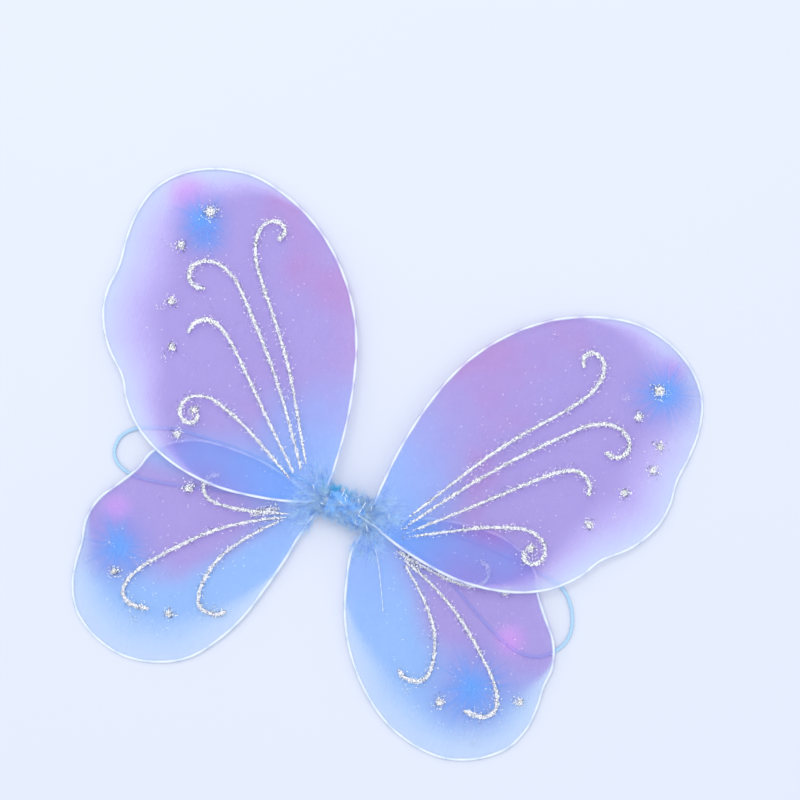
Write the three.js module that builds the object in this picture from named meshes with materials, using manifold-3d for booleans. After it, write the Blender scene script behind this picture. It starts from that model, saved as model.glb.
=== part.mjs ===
// Child's dress-up fairy wings, lying on their back on a flat surface, +Z up, in millimetres.
// Four wire loops are stretched with nylon, drawn on with glitter, and held together by a taped
// bar at the middle. X runs from the left wings to the right ones and Y towards the upper wings.
// The origin is the middle of the bar's flat back, the face that lies on the wearer.

import * as THREE from "three";
import { mergeVertices } from "three/addons/utils/BufferGeometryUtils.js";
import Module from "manifold-3d";

const wasm = await Module();
wasm.setup();

const gap = 0.3; // clearance between pieces that touch
const wireRadius = 1.1;
const wireSides = 8;
const wireStep = 9.5; // length of one straight piece of a wire loop

const coverThickness = 0.8; // the two layers of nylon and what lies between them
const coverInset = wireRadius + 0.35;
const rootClear = 9; // how far the cover stays out of the tight corner of its loop

const beadWidth = 3.2;
const beadHeight = 1.0;
const beadStep = 6;
const dotHeight = 1.1;

const wrapHalfLength = 16;
const wrapHalfWidth = 10;
const wrapHeight = 18.5;
const boreRadius = 5.4; // the space that the wires' twisted ends fill
const boreHeight = 9;

const trimHalfLength = 15;
const trimHalfWidth = 14;
const trimHeight = 24;
const trimLift = 0.4;

const strapRadius = 1.5;
const strapSides = 8;
const strapStep = 8;
const knotRadius = 2.5;
const knotX = 18.9;
const knotZ = 2.9;
const knotY = { upper: 6, lower: -6 };

// Corner of each loop at the bar, and how the loop's plane falls away from there: slopes are the
// drop for each millimetre outwards and for each millimetre towards the loop's far end.
const loops = {
  upper: { root: [18, 1.5, 15.5], fallOut: 0.035, fallFar: 0.0354, far: 1 },
  lower: { root: [18, -8.5, 8.5], fallOut: 0.01, fallFar: 0.037, far: -1 },
};

// Loop outlines, right-hand side, measured from the corner.
const outlines = {
  upper: [
    [1.2, 1.2], [2.5, 25], [6, 60], [14, 98], [25, 130], [40, 156], [62, 181], [89, 201],
    [120, 214], [150, 219], [180, 213], [204, 199], [219, 180], [225, 157], [225, 135],
    [222.5, 112], [224, 92], [220.5, 73], [207, 50], [187, 31], [177, 15], [160, -2],
    [138, -14], [112, -21], [84, -23], [57, -20], [30, -14], [10, -7], [1.9, -1.7],
  ],
  lower: [
    [1.2, -1.2], [2.5, -22], [7, -47], [15, -75], [27, -102], [44, -126], [66, -146],
    [92, -157], [118, -159.5], [143, -152], [163, -137], [173, -118], [176, -98], [176, -82],
    [178, -64], [173, -45], [161, -28], [150, -12], [143, 4], [129, 16], [108, 24], [82, 25],
    [54, 22], [27, 14], [10, 6], [1.9, 1.7],
  ],
};

// Glitter lines, from the curled tip down to the root, measured from the corner.
const swirls = {
  upper: {
    inner: [
      [115, 173], [112, 181], [118, 187], [128, 183.5], [131.5, 172], [127, 155],
      [113, 135.5], [89, 107], [70, 82], [52, 54], [38, 31], [28, 15],
    ],
    middle: [
      [155, 116], [163, 114.5], [170, 119], [171.5, 128], [164, 136], [152, 138], [135, 131],
      [115, 112], [90, 86], [67, 59], [48, 34], [37, 19], [30, 9],
    ],
    outer: [
      [154.5, 78], [153, 86], [147, 92], [138, 93.5], [126, 88], [106, 71], [79, 45.5],
      [57, 25], [35, 5],
    ],
    spiral: [
      [122, 20], [125, 12], [133, 12], [138, 19], [136, 28.5], [128, 34], [117, 35.5],
      [102, 31.5], [85, 25], [65, 15], [36, -0.5],
    ],
  },
  lower: {
    upper: [
      [92, 0], [99, -4], [102, -12], [97, -20], [86, -23], [72, -22.5], [57, -20], [43, -17], [30, -14],
    ],
    outer: [
      [115, -120], [123, -121], [133, -120], [139, -113], [138, -103], [132, -92],
      [120, -78], [106, -64], [88, -48], [66, -33.5], [45, -22.8], [34, -18.4],
    ],
    inner: [
      [55, -104], [62, -108.5], [70, -109], [77, -106], [80, -97], [79, -83], [72, -63],
      [59, -45], [44, -29.5], [36, -22.2],
    ],
  },
};

// Glitter dots as [x, y, radius], measured from the corner.
const dots = {
  left_upper: [
    [174, 175, 5.5], [185.5, 141.5, 4], [176.5, 96.5, 4], [162.5, 62.5, 4], [127, 22.5, 4],
    [133, -1, 4],
  ],
  right_upper: [
    [178.5, 178, 5.5], [170, 152, 4], [194.5, 136, 4], [196, 116, 4], [181, 91, 4],
    [163.5, 57, 4], [126, 23.5, 4],
  ],
  left_lower: [
    [112.5, -18, 4.5], [150.5, -99.5, 4], [98.5, -119.5, 4],
  ],
  right_lower: [
    [119, -18.5, 4], [156, -100.5, 4], [94.5, -119.5, 4],
  ],
};

// The wings are bent and set in by hand, so each is a little turned, its glitter a little moved,
// and its inner side pressed in (or let out) by some millimetres, shared over the first points.
const pressShares = [0, 0.8, 1, 1.1, 0.9, 0.6, 0.2];
const wings = [
  { name: "left_upper", side: -1, kind: "upper", turn: -0.26, print: [3.6, 4.7], press: 0 },
  { name: "right_upper", side: 1, kind: "upper", turn: 0.93, print: [5.5, -2], press: 0 },
  { name: "left_lower", side: -1, kind: "lower", turn: -4.6, print: [6.1, 2.7], press: 9 },
  { name: "right_lower", side: 1, kind: "lower", turn: 4.6, print: [5.6, 1.6], press: -6.5 },
];

// Each strap's route from its upper knot round to its lower one.
const strapRoutes = {
  left: [
    [-21.8, 6, 2.9], [-27, 6.2, 2.2], [-36, 7, 1.7], [-70, 10, 1.6], [-115, 10.5, 1.6],
    [-152, 7, 1.6], [-165, 3, 1.6], [-175, -1, 1.6], [-183, -6, 1.6], [-188.5, -12.5, 1.6],
    [-190.5, -20, 1.6], [-189.5, -28, 1.6], [-184.5, -34.5, 1.6], [-175.5, -38.5, 1.6],
    [-166, -39.5, 1.6], [-150, -37.5, 1.6], [-128, -33, 1.6], [-85, -21, 1.6],
    [-50, -11, 1.6], [-36, -8, 1.7], [-27, -6.3, 2.2], [-21.8, -6, 2.9],
  ],
  right: [
    [21.8, 6, 2.9], [27, 6.2, 2.2], [36, 7, 1.7], [70, 10.5, 1.6], [120, 11.5, 1.6],
    [164, 8, 1.6], [186, 3, 1.6], [198, -9, 1.6], [204, -23, 1.6], [204, -35, 1.6],
    [198, -46, 1.6], [187, -55, 1.6], [171, -57, 1.6], [153, -52, 1.6], [126, -39, 1.6],
    [98, -24, 1.6], [65, -12, 1.6], [36, -7.5, 1.7], [27, -6.3, 2.2], [21.8, -6, 2.9],
  ],
};

const looks = {
  wire: { color: 0xf2f4ff, roughness: 0.35, metalness: 0.1 },
  nylon: { color: 0xb4a8ec, roughness: 0.7, metalness: 0 },
  glitter: { color: 0xdfe2ec, roughness: 0.25, metalness: 0.8 },
  tape: { color: 0x6fb4ee, roughness: 0.8, metalness: 0 },
  feather: { color: 0x78b0f0, roughness: 0.95, metalness: 0 },
  elastic: { color: 0x9fcdf2, roughness: 0.75, metalness: 0 },
  steel: { color: 0xa9adb5, roughness: 0.4, metalness: 0.9 },
};

function makePart(name, geometry, look) {
  const part = new THREE.Mesh(geometry, new THREE.MeshStandardMaterial(looks[look]));
  part.name = name;
  return part;
}

function roundSection(radius, sides) {
  const section = new THREE.Shape();
  for (let i = 0; i < sides; i++) {
    const angle = (i * 2 * Math.PI) / sides;
    const x = radius * Math.cos(angle);
    const y = radius * Math.sin(angle);
    if (i === 0) section.moveTo(x, y);
    else section.lineTo(x, y);
  }
  return section;
}

function smoothCurve(points) {
  const vectors = points.map(([x, y, z = 0]) => new THREE.Vector3(x, y, z));
  return new THREE.CatmullRomCurve3(vectors, false, "centripetal");
}

function sweep(section, points, step) {
  const path = smoothCurve(points);
  const steps = Math.round(path.getLength() / step);
  return new THREE.ExtrudeGeometry(section, { steps, extrudePath: path });
}

function mirrored(points, side) {
  return points.map(([x, y]) => [side * x, y]);
}

function printed(points, wing) {
  const [shiftX, shiftY] = wing.print;
  return points.map(([x, y]) => [wing.side * x + shiftX, y + shiftY]);
}

function bentOutline(wing) {
  return outlines[wing.kind].map(([x, y], i) => [x + wing.press * (pressShares[i] ?? 0), y]);
}

function wireLoop(wing) {
  const points = mirrored(bentOutline(wing), wing.side);
  return sweep(roundSection(wireRadius, wireSides), points, wireStep);
}

// A flat sheet that fills the loop, its edge just inside the wire.
function coverSheet(wing) {
  const path = smoothCurve(mirrored(bentOutline(wing), wing.side));
  const steps = Math.round(path.getLength() / wireStep);
  const turnsLeft = wing.side * loops[wing.kind].far < 0 ? 1 : -1;
  const edge = [];
  for (let i = 0; i <= steps; i++) {
    const point = path.getPointAt(i / steps);
    if (point.length() < rootClear) continue;
    const along = path.getTangentAt(i / steps);
    const x = point.x - turnsLeft * along.y * coverInset;
    const y = point.y + turnsLeft * along.x * coverInset;
    edge.push(new THREE.Vector2(x, y));
  }
  const options = { depth: coverThickness, bevelEnabled: false };
  const sheet = new THREE.ExtrudeGeometry(new THREE.Shape(edge), options);
  return sheet.translate(0, 0, -coverThickness / 2);
}

// A low bead of glue and glitter, with a flat back and a rounded front.
function glitterLine(points, wing) {
  const half = beadWidth / 2;
  const shoulder = 0.6 * beadHeight;
  const section = new THREE.Shape();
  section.moveTo(0, -half);
  section.lineTo(0, half);
  section.lineTo(-shoulder, 0.75 * half);
  section.lineTo(-beadHeight, 0);
  section.lineTo(-shoulder, -0.75 * half);
  const base = coverThickness / 2 + gap;
  return sweep(section, printed(points, wing), beadStep).translate(0, 0, base);
}

function glitterDot([x, y, radius], wing) {
  const profile = [
    new THREE.Vector2(0, 0),
    new THREE.Vector2(radius, 0),
    new THREE.Vector2(0.72 * radius, 0.7 * dotHeight),
    new THREE.Vector2(0, dotHeight),
  ];
  const [[placeX, placeY]] = printed([[x, y]], wing);
  const base = coverThickness / 2 + gap;
  const dome = new THREE.LatheGeometry(profile, 12).rotateX(Math.PI / 2);
  return dome.translate(placeX, placeY, base);
}

// One wing: its wire, nylon and glitter in a group that sits at the loop's corner.
function makeWing(wing) {
  const { root, fallOut, fallFar, far } = loops[wing.kind];
  const group = new THREE.Group();
  group.position.set(wing.side * root[0], root[1], root[2]);
  group.rotation.x = -far * Math.atan(fallFar);
  group.rotation.y = wing.side * Math.atan(fallOut);
  group.rotation.z = wing.side * THREE.MathUtils.degToRad(wing.turn);
  group.add(makePart(`${wing.name}_wire`, wireLoop(wing), "wire"));
  group.add(makePart(`${wing.name}_cover`, coverSheet(wing), "nylon"));
  for (const [name, points] of Object.entries(swirls[wing.kind])) {
    const line = glitterLine(points, wing);
    group.add(makePart(`${wing.name}_${name}_swirl`, line, "glitter"));
  }
  dots[wing.name].forEach((place, i) => {
    const dot = glitterDot(place, wing);
    group.add(makePart(`${wing.name}_glitter_dot_${i + 1}`, dot, "glitter"));
  });
  return group;
}

// An arch standing on its flat side, as seen from the bar's end.
function archShape(halfWidth, height, foot) {
  const corner = Math.min(halfWidth, height) * 0.75;
  const shape = new THREE.Shape();
  shape.moveTo(-halfWidth, foot);
  shape.lineTo(halfWidth, foot);
  shape.lineTo(halfWidth, height - corner);
  shape.quadraticCurveTo(halfWidth, height, halfWidth - corner, height);
  shape.lineTo(corner - halfWidth, height);
  shape.quadraticCurveTo(-halfWidth, height, -halfWidth, height - corner);
  return shape;
}

// Extrudes a section that is drawn in Y and Z along X, with its middle at the origin.
function alongBar(shape, halfLength, curveSegments) {
  const options = { depth: 2 * halfLength, bevelEnabled: false, curveSegments };
  const solid = new THREE.ExtrudeGeometry(shape, options);
  solid.translate(0, 0, -halfLength);
  return solid.rotateX(Math.PI / 2).rotateZ(Math.PI / 2);
}

function tapeWrap() {
  const shape = archShape(wrapHalfWidth, wrapHeight, 0);
  const bore = new THREE.Path();
  bore.absarc(0, boreHeight, boreRadius, 0, 2 * Math.PI, true);
  shape.holes.push(bore);
  return alongBar(shape, wrapHalfLength, 8);
}

// Four wires laid side by side and twisted together.
function wireBundle() {
  const turns = 1.5;
  const lobes = 4;
  const points = 24;
  const radius = boreRadius - 0.4;
  const shape = new THREE.Shape();
  for (let i = 0; i < points; i++) {
    const angle = (i * 2 * Math.PI) / points;
    const reach = radius * (0.86 + 0.14 * Math.cos(lobes * angle));
    const x = reach * Math.cos(angle);
    const y = reach * Math.sin(angle);
    if (i === 0) shape.moveTo(x, y);
    else shape.lineTo(x, y);
  }
  const length = 2 * wrapHalfLength - 2;
  const rod = new THREE.ExtrudeGeometry(shape, { depth: length, steps: 16, bevelEnabled: false });
  rod.translate(0, 0, -length / 2);
  const place = rod.getAttribute("position");
  const point = new THREE.Vector3();
  const barAxis = new THREE.Vector3(0, 0, 1);
  for (let i = 0; i < place.count; i++) {
    point.fromBufferAttribute(place, i);
    point.applyAxisAngle(barAxis, (point.z / length) * turns * 2 * Math.PI);
    place.setXYZ(i, point.x, point.y, point.z);
  }
  return rod.rotateX(Math.PI / 2).rotateZ(Math.PI / 2).translate(0, 0, boreHeight);
}

function toSolid(geometry) {
  const bare = geometry.clone().deleteAttribute("normal").deleteAttribute("uv");
  const merged = mergeVertices(bare, 1e-3);
  const vertProperties = merged.getAttribute("position").array;
  const triVerts = new Uint32Array(merged.index.array);
  return new wasm.Manifold(new wasm.Mesh({ numProp: 3, vertProperties, triVerts }));
}

function toGeometry(solid) {
  const mesh = solid.getMesh();
  const geometry = new THREE.BufferGeometry();
  geometry.setAttribute("position", new THREE.BufferAttribute(mesh.vertProperties, 3));
  geometry.setIndex(new THREE.BufferAttribute(mesh.triVerts, 1));
  geometry.computeVertexNormals();
  return geometry;
}

// The feather strip lies over the wrap like a saddle, clear of it by the gap.
function featherTrim() {
  const outer = alongBar(archShape(trimHalfWidth, trimHeight, trimLift), trimHalfLength, 8);
  const room = archShape(wrapHalfWidth + gap, wrapHeight + gap, -1);
  const inner = alongBar(room, trimHalfLength + 1, 8);
  return toGeometry(toSolid(outer).subtract(toSolid(inner)));
}

function makeBar() {
  const group = new THREE.Group();
  group.add(makePart("centre_tape_wrap", tapeWrap(), "tape"));
  group.add(makePart("twisted_wire_ends", wireBundle(), "steel"));
  group.add(makePart("feather_trim", featherTrim(), "feather"));
  return group;
}

function makeStrap(name, side) {
  const group = new THREE.Group();
  const cord = sweep(roundSection(strapRadius, strapSides), strapRoutes[name], strapStep);
  group.add(makePart(`${name}_strap`, cord, "elastic"));
  for (const [end, y] of Object.entries(knotY)) {
    const knot = new THREE.SphereGeometry(knotRadius, 12, 8);
    knot.translate(side * knotX, y, knotZ);
    group.add(makePart(`${name}_strap_${end}_knot`, knot, "elastic"));
  }
  return group;
}

const fairyWings = new THREE.Group();
fairyWings.add(makeBar());
fairyWings.add(makeStrap("left", -1));
fairyWings.add(makeStrap("right", 1));
for (const wing of wings) fairyWings.add(makeWing(wing));

export default fairyWings;
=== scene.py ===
# Child's dress-up fairy wings: dyed nylon over wire loops, glitter swirls, a feathered bar and
# two arm straps. They lie on their back: X runs to the right-hand wings, Y to the upper ones and
# Z off the decorated front. Tables are in millimetres, and turn to metres where a piece is made.
import math

import bpy
import numpy as np
from mathutils import Matrix, Vector, geometry


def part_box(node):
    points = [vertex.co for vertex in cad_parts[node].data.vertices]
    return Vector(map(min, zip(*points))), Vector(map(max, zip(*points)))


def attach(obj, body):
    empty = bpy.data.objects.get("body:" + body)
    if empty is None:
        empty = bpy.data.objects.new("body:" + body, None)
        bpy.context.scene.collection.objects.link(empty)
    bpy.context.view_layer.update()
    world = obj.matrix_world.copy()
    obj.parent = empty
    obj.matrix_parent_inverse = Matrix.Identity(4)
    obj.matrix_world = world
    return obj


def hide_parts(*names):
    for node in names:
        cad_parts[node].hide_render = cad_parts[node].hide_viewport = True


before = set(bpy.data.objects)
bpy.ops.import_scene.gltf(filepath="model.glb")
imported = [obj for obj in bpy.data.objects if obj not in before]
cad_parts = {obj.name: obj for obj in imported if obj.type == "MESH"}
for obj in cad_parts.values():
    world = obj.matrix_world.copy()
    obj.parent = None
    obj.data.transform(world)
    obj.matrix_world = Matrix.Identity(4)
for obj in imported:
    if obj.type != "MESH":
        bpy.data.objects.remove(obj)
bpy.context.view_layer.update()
bpy.ops.object.select_all(action="DESELECT")
mm = 0.001


# Camera: straight above the wings, and rolled, so that they lie a little turned in its view.
cameraLook = {"lens": 85, "sensor": 36, "aim": (8.2, 95.9, 8), "viewWidth": 640, "roll": 21.7}


def addCamera():
    x, y, z = cameraLook["aim"]
    height = cameraLook["viewWidth"] * cameraLook["lens"] / cameraLook["sensor"]
    place = (x * mm, y * mm, (z + height) * mm)
    bpy.ops.object.camera_add(location=place, rotation=(0, 0, math.radians(cameraLook["roll"])))
    camera = bpy.context.object
    camera.data.lens = cameraLook["lens"]
    camera.data.sensor_width = cameraLook["sensor"]
    bpy.context.scene.camera = camera


addCamera()
print("camera placed")


# Materials. A Sum wraps a node's output, so that shader maths is written as plain sums.
class Sum:
    def __init__(self, finish, socket):
        self.finish = finish
        self.socket = socket

    def maths(self, operation, *values):
        return self.finish.node("Math", {"operation": operation}, dict(enumerate(values)))

    def sine(self):
        return self.maths("SINE", self)

    def absolute(self):
        return self.maths("ABSOLUTE", self)


def addOperator(name, operation):
    setattr(Sum, f"__{name}__", lambda self, other: self.maths(operation, self, other))
    setattr(Sum, f"__r{name}__", lambda self, other: self.maths(operation, other, self))


addOperator("add", "ADD")
addOperator("sub", "SUBTRACT")
addOperator("mul", "MULTIPLY")
addOperator("truediv", "DIVIDE")
addOperator("pow", "POWER")


class Finish:
    def __init__(self, name, **fixed):
        self.material = bpy.data.materials.new(name)
        self.material.use_nodes = True
        self.tree = self.material.node_tree
        self.shader = self.tree.nodes["Principled BSDF"]
        for socket, value in fixed.items():
            self.shader.inputs[socket.replace("_", " ")].default_value = value

    # Any node: its settings come first, then what its sockets hold, then which output is wanted.
    def node(self, kind, settings=None, values=None, output=0):
        made = self.tree.nodes.new("ShaderNode" + kind)
        for name, value in (settings or {}).items():
            if name == "stops":
                self.setStops(made.color_ramp, value)
            else:
                setattr(made, name, value)
        for name, value in (values or {}).items():
            self.feed(made.inputs[name], value)
        return Sum(self, made.outputs[output])

    def feed(self, socket, value):
        if isinstance(value, Sum):
            self.tree.links.new(value.socket, socket)
        else:
            socket.default_value = value

    def setStops(self, ramp, stops):
        while len(ramp.elements) < len(stops):
            ramp.elements.new(1)
        for element, (place, colour) in zip(ramp.elements, stops):
            element.position = place
            element.color = (*colour, 1)

    def ramp(self, value, *stops):
        return self.node("ValToRGB", {"stops": stops}, {"Fac": value})

    # 0 where value is low, 1 where it is high, and smooth between.
    def rise(self, value, low, high):
        settings = {"interpolation_type": "SMOOTHSTEP"}
        return self.node("MapRange", settings, {"Value": value, "From Min": low, "From Max": high})

    def mix(self, first, second, share, blend="MIX"):
        settings = {"data_type": "RGBA", "blend_type": blend}
        colours = [c if isinstance(c, Sum) else (*c, 1) for c in (first, second)]
        return self.node("Mix", settings, {0: share, 6: colours[0], 7: colours[1]}, 2)

    def noise(self, vector, scale, detail=2, **more):
        values = {"Vector": vector, "Scale": scale, "Detail": detail, **more}
        return self.node("TexNoise", None, values)

    def objectPlace(self):
        return self.node("TexCoord", None, None, "Object")

    def attribute(self, name):
        return self.node("Attribute", {"attribute_name": name}, None, "Fac")

    def bump(self, height, distance, strength=1.0):
        values = {"Height": height, "Distance": distance, "Strength": strength}
        return self.node("Bump", None, values)

    def set(self, **sockets):
        for socket, value in sockets.items():
            self.feed(self.shader.inputs[socket.replace("_", " ")], value)
        return self.material


# Paths and meshes.
def unit(rows):
    return rows / np.linalg.norm(rows, axis=-1)[..., None]


def circle(sides):
    return np.linspace(0, 2 * math.pi, sides, endpoint=False)


def smoothPath(points, step):
    points = [Vector(point).to_3d() for point in points]
    run = [2 * points[0] - points[1], *points, 2 * points[-1] - points[-2]]
    fine = []
    for before, start, end, after in zip(run, run[1:], run[2:], run[3:]):
        legs = ((before, start), (start, end), (end, after))
        near, middle, far = ((b - a).length ** 0.5 for a, b in legs)
        pull = (start - before) / near - (end - before) / (near + middle) + (end - start) / middle
        push = (end - start) / middle - (after - start) / (middle + far) + (after - end) / far
        handles = (start + pull * middle / 3, end - push * middle / 3)
        fine += geometry.interpolate_bezier(start, *handles, end, 24)[:-1]
    return evenPoints([*fine, points[-1]], step)


def evenPoints(points, step):
    points = np.array([tuple(point) for point in points])
    gaps = np.linalg.norm(np.diff(points, axis=0), axis=1)
    along = np.concatenate([[0], np.cumsum(gaps)])
    spots = np.linspace(0, along[-1], max(3, round(along[-1] / step) + 1))
    return np.column_stack([np.interp(spots, along, points[:, i]) for i in range(3)])


def addPiece(name, points, faces, material, flat=False):
    mesh = bpy.data.meshes.new(name)
    mesh.from_pydata(np.asarray(points).tolist(), [], faces)
    mesh.materials.append(material)
    mesh.polygons.foreach_set("use_smooth", [not flat] * len(mesh.polygons))
    mesh.update()
    piece = bpy.data.objects.new(name, mesh)
    bpy.context.collection.objects.link(piece)
    return piece


def addAttribute(piece, name, values):
    made = piece.data.attributes.new(name, "FLOAT", "POINT")
    made.data.foreach_set("value", np.asarray(values, np.float32))


def addMap(piece, name, places):
    layer = piece.data.uv_layers.new(name=name)
    corners = np.zeros(len(piece.data.loops), np.int32)
    piece.data.loops.foreach_get("vertex_index", corners)
    layer.data.foreach_set("uv", np.asarray(places, np.float32)[corners].ravel())


# The walls between rings of corners, from each ring to the next.
def wallFaces(rings, sides, start=0):
    faces = []
    for near in range(start, start + (rings - 1) * sides, sides):
        far = near + sides
        for i in range(sides):
            j = (i + 1) % sides
            faces.append((near + i, near + j, far + j, far + i))
    return faces


# The same for rings that grow outwards, closed by a fan round one corner at each end.
def shellFaces(rings, sides, start, first, last):
    faces = [(a, d, c, b) for a, b, c, d in wallFaces(rings, sides, start)]
    edge = start + (rings - 1) * sides
    for i in range(sides):
        j = (i + 1) % sides
        faces += [(first, start + i, start + j), (last, edge + j, edge + i)]
    return faces


# A tube along a path that runs mostly level. Its section is wide across and tall upwards, and
# can change from ring to ring.
def tubeShape(path, wide, tall, sides):
    count = len(path)
    ahead = unit(np.gradient(path, axis=0))
    across = unit(np.cross(ahead, (0, 0, 1)))
    upward = np.cross(across, ahead)
    angles = circle(sides)
    wide, tall = (
        np.asarray(half, float).reshape(-1, 1) if np.ndim(half) < 2 else half for half in (wide, tall)
    )
    points = (
        path[:, None]
        + across[:, None] * (wide * np.cos(angles))[..., None]
        + upward[:, None] * (tall * np.sin(angles))[..., None]
    )
    faces = wallFaces(count, sides)
    faces.append(tuple(range(sides - 1, -1, -1)))
    faces.append(tuple(range((count - 1) * sides, count * sides)))
    return points.reshape(-1, 3), faces


# Straps: soft round elastic, each from its upper knot round to its lower one.
strapLook = {
    "diameter": 3.0,
    "step": 0.7,
    "sides": 20,
    "strands": 5,       # of the braid, each way round
    "braidPitch": 9.0,  # for one whole turn of a strand
    "braidDepth": 0.16,
    # Besides the elastic's own colour, the darker colour is painted shade in the braid's grooves and the
    # paler one a painted highlight on its crowns.
    "colour": (0.44, 0.66, 0.84),
    "grooveShade": (0.24, 0.45, 0.70),
    "crownHighlight": (0.70, 0.86, 0.95),
}
strapRoutes = {
    "left": [
        (-21.8, 6, 2.9), (-27, 6.2, 2.2), (-36, 7, 1.7), (-70, 10, 1.6), (-115, 10.5, 1.6),
        (-152, 7, 1.6), (-165, 3, 1.6), (-175, -1, 1.6), (-183, -6, 1.6), (-188.5, -12.5, 1.6),
        (-190.5, -20, 1.6), (-189.5, -28, 1.6), (-184.5, -34.5, 1.6), (-175.5, -38.5, 1.6),
        (-166, -39.5, 1.6), (-150, -37.5, 1.6), (-128, -33, 1.6), (-85, -21, 1.6),
        (-50, -11, 1.6), (-36, -8, 1.7), (-27, -6.3, 2.2), (-21.8, -6, 2.9),
    ],
    "right": [
        (21.8, 6, 2.9), (27, 6.2, 2.2), (36, 7, 1.7), (70, 10.5, 1.6), (120, 11.5, 1.6),
        (164, 8, 1.6), (186, 3, 1.6), (198, -9, 1.6), (204, -23, 1.6), (204, -35, 1.6),
        (198, -46, 1.6), (187, -55, 1.6), (171, -57, 1.6), (153, -52, 1.6), (126, -39, 1.6),
        (98, -24, 1.6), (65, -12, 1.6), (36, -7.5, 1.7), (27, -6.3, 2.2), (21.8, -6, 2.9),
    ],
}


def elasticFinish():
    finish = Finish("braidedElastic", Sheen_Weight=0.25)
    # Painted shade in the braid's grooves and a painted highlight on its crowns, following the braid's
    # relief, with a random fuzz over them.
    grooveShade = finish.attribute("braid")
    fuzz = finish.noise(finish.objectPlace(), 900, 3)
    shade = grooveShade * 0.75 + fuzz * 0.35
    stops = [(0.1, strapLook["grooveShade"]), (0.7, strapLook["colour"]), (1, strapLook["crownHighlight"])]
    colour = finish.ramp(shade, *stops)
    return finish.set(
        Base_Color=colour,
        Roughness=0.62 + 0.2 * fuzz,
        Normal=finish.bump(fuzz, 0.0001, 0.5),
    )


def addStrap(side, material):
    path = smoothPath(strapRoutes[side], strapLook["step"])
    sides = strapLook["sides"]
    along = np.arange(len(path))[:, None] * strapLook["step"] * 2 * math.pi / strapLook["braidPitch"]
    around = circle(sides)[None]
    strands = strapLook["strands"]
    oneWay = np.cos(strands * around + along * strands / 2)
    otherWay = np.cos(strands * around - along * strands / 2)
    braid = np.clip(np.maximum(oneWay, otherWay), 0, 1)
    reach = strapLook["diameter"] / 2 - strapLook["braidDepth"] * (1 - braid)
    points, faces = tubeShape(path, reach, reach, sides)
    strap = addPiece(side + "_arm_elastic", points * mm, faces, material)
    addAttribute(strap, "braid", braid.ravel())
    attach(strap, "centre_bar")
    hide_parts(side + "_strap")
    return strap, path


# Knots: each strap end is tied in an overhand knot behind the wrap.
knotLook = {"turn": 0.62, "cord": 0.86, "flatten": 0.8, "points": 72}


def addKnot(side, end, material):
    node = f"{side}_strap_{end}_knot"
    low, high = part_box(node)
    middle = (low + high) / 2
    curve = bpy.data.curves.new(node + "_tied", "CURVE")
    curve.dimensions = "3D"
    curve.bevel_depth = knotLook["cord"] * mm
    curve.bevel_resolution = 4
    line = curve.splines.new("POLY")
    line.points.add(knotLook["points"] - 1)
    for i, point in enumerate(line.points):
        t = i * 2 * math.pi / knotLook["points"]
        lobe = (
            math.sin(t) + 2 * math.sin(2 * t),
            math.cos(t) - 2 * math.cos(2 * t),
            -1.4 * math.sin(3 * t),
        )
        offset = Vector((lobe[2] * knotLook["flatten"], lobe[0], lobe[1] * 0.9)) * knotLook["turn"] * mm
        point.co = (*(middle + offset), 1)
    line.use_cyclic_u = True
    knot = bpy.data.objects.new(node + "_tied", curve)
    bpy.context.collection.objects.link(knot)
    knot = makeMesh(knot)
    knot.data.materials.append(material)
    addAttribute(knot, "braid", [0.8] * len(knot.data.vertices))
    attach(knot, "centre_bar")
    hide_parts(node)
    return knot


def makeMesh(piece):
    bpy.ops.object.select_all(action="DESELECT")
    piece.select_set(True)
    bpy.context.view_layer.objects.active = piece
    bpy.ops.object.convert(target="MESH")
    piece = bpy.context.object
    bpy.ops.object.shade_smooth()
    piece.select_set(False)
    return piece


elastic = elasticFinish()
for side in ("left", "right"):
    strap, route = addStrap(side, elastic)
    knots = [addKnot(side, end, elastic) for end in ("upper", "lower")]
print("straps laid and tied")


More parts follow.
